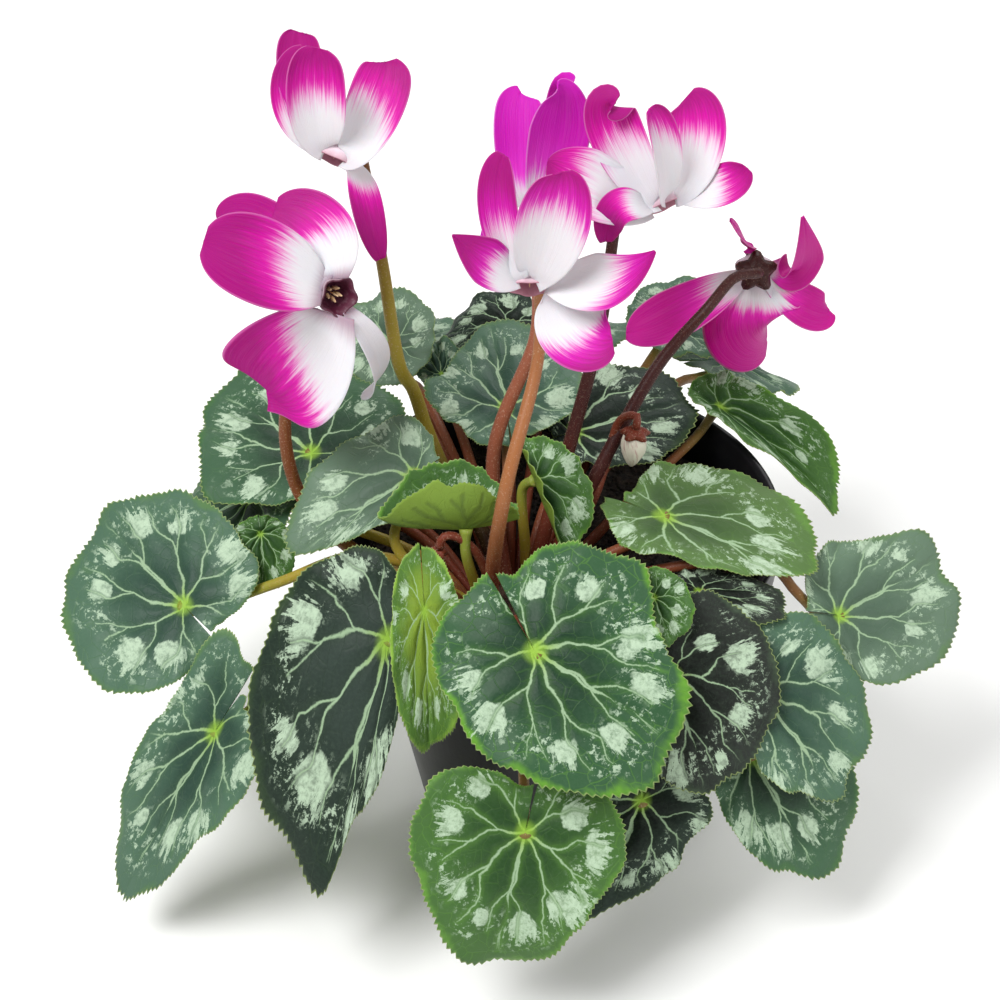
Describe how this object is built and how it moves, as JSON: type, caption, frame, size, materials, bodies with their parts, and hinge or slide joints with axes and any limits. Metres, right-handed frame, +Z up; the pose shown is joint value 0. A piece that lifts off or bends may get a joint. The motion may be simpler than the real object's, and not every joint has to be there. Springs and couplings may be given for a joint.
{
  "type": "potted cyclamen",
  "caption": "Cyclamen in flower in a black nursery pot: marbled heart-shaped leaves on arching stalks, with two-coloured turned-back blooms above them.",
  "frame": {"origin": "middle of the pot's foot, on the surface that it stands on", "axes": "+Z up along the pot's axis, -Y towards the side seen in the picture, +X to its right"},
  "size_m": [0.3068, 0.2719, 0.3009],
  "materials": {
    "pot_plastic": "glossy black moulded plastic",
    "peat": "dark crumbly peat, matt",
    "stalks": "fleshy red-brown to olive stalks with fine pale hairs",
    "leaf_grey": "grey-green waxy leaf with silver marbling and pale veins",
    "leaf_dark": "very dark green leaf with silver marbling",
    "leaf_bright": "fresh green leaf with pale veins",
    "petal": "white petal with a magenta outer half",
    "petal_lilac": "lilac magenta petal",
    "bud": "cream bud with reddish lines"
  },
  "bodies": {
    "root": {"pot": "pot_plastic", "soil": "peat", "crown": "stalks", "blade_left": "leaf_grey", "blade_low_left": "leaf_grey", "blade_long_dark": "leaf_dark", "blade_under_left_bloom": "leaf_grey", "blade_dark_teal": "leaf_dark", "blade_small_green": "leaf_bright", "blade_pointed_silver": "leaf_grey", "blade_cupped_olive": "leaf_bright", "blade_centre_top": "leaf_grey", "blade_arched_dark": "leaf_dark", "blade_sage_behind": "leaf_grey", "blade_upright_grey": "leaf_dark", "blade_dark_right": "leaf_dark", "blade_grey_green_behind": "leaf_grey", "blade_folded_right": "leaf_bright", "blade_wide_right": "leaf_bright", "blade_taco_young": "leaf_bright", "blade_front": "leaf_grey", "blade_front_bottom": "leaf_bright", "blade_dark_under": "leaf_dark", "blade_dark_front_right": "leaf_dark", "blade_right_front": "leaf_grey", "blade_low_right": "leaf_grey", "blade_far_right": "leaf_grey", "blade_grey_purple": "leaf_dark", "blade_lime_twisted": "leaf_bright", "blade_olive_tip": "leaf_bright", "blade_back_middle": "leaf_grey", "blade_back_left": "leaf_grey", "blade_back_right": "leaf_grey", "bloom_left": "petal", "bloom_upper_left": "petal", "bloom_centre": "petal", "bloom_lilac_behind": "petal_lilac", "bloom_upper_right": "petal", "bloom_right": "petal", "bud_right": "bud", "bud_young": "bud"}
  },
  "joints": []
}
